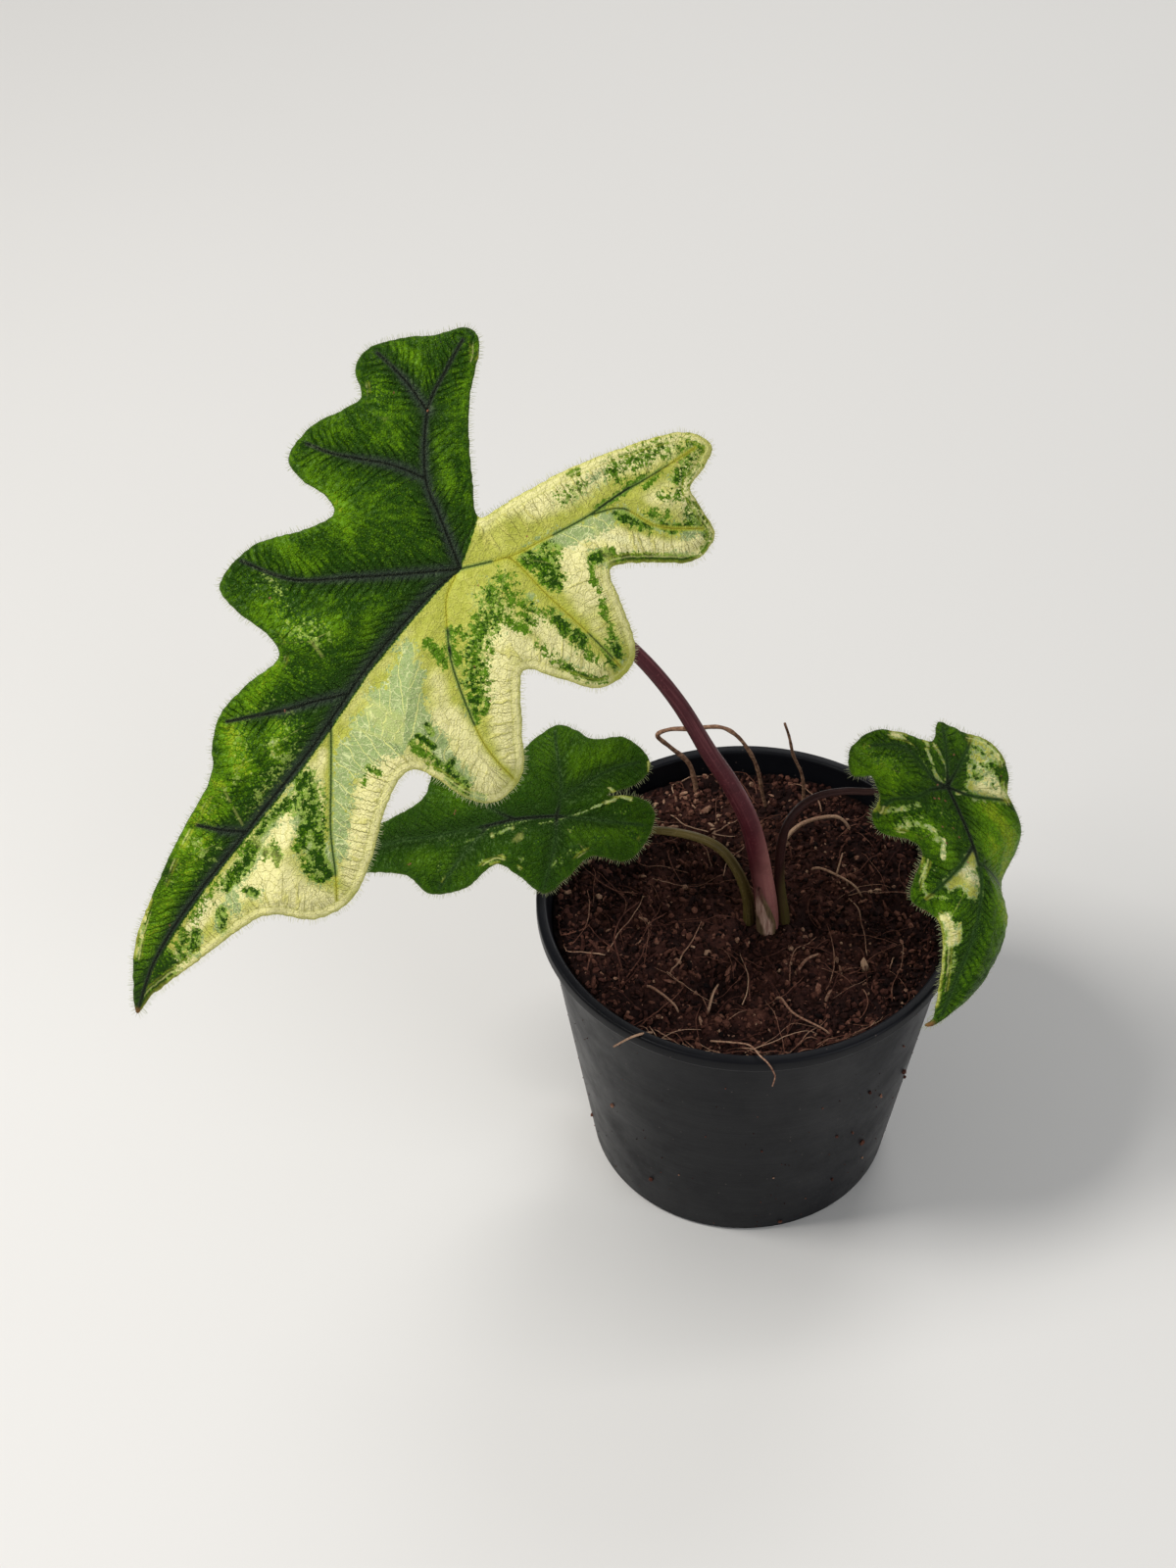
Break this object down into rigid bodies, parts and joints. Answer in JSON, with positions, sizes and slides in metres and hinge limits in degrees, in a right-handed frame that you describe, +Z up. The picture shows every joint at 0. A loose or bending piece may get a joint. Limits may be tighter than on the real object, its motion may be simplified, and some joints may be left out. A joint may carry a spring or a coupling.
{
  "type": "potted alocasia",
  "caption": "Young alocasia with waved, lobed, variegated blades on slender stalks, rooted in coir soil in a round tapered plastic nursery pot.",
  "frame": {"origin": "middle of the pot's base, on the surface it stands on", "axes": "+Z up along the pot's axis, -Y towards the viewer of the picture, +X to the viewer's right"},
  "size_m": [0.2343, 0.1418, 0.2795],
  "materials": {
    "pot_plastic": "black, slightly glossy moulded plastic",
    "coir": "crumbly fibrous coir mix",
    "root_skin": "rough brown corm and pale roots",
    "stalk_maroon": "smooth maroon stalk",
    "stalk_olive": "smooth olive stalk",
    "stalk_brown": "smooth dark brown stalk",
    "dry_sheath": "dry papery sheath",
    "leaf_variegated": "cream and green blade with hairy edge",
    "leaf_green": "green blade with pale streaks",
    "leaf_flecked": "green blade with cream flecks"
  },
  "bodies": {
    "root": {"pot": "pot_plastic", "soil": "coir", "rootstock": "root_skin", "loose_root": "root_skin", "petiole_main": "stalk_maroon", "petiole_left": "stalk_olive", "petiole_right": "stalk_brown", "sheath": "dry_sheath", "leaf_main": "leaf_variegated", "leaf_left": "leaf_green", "leaf_right": "leaf_flecked"}
  },
  "joints": []
}
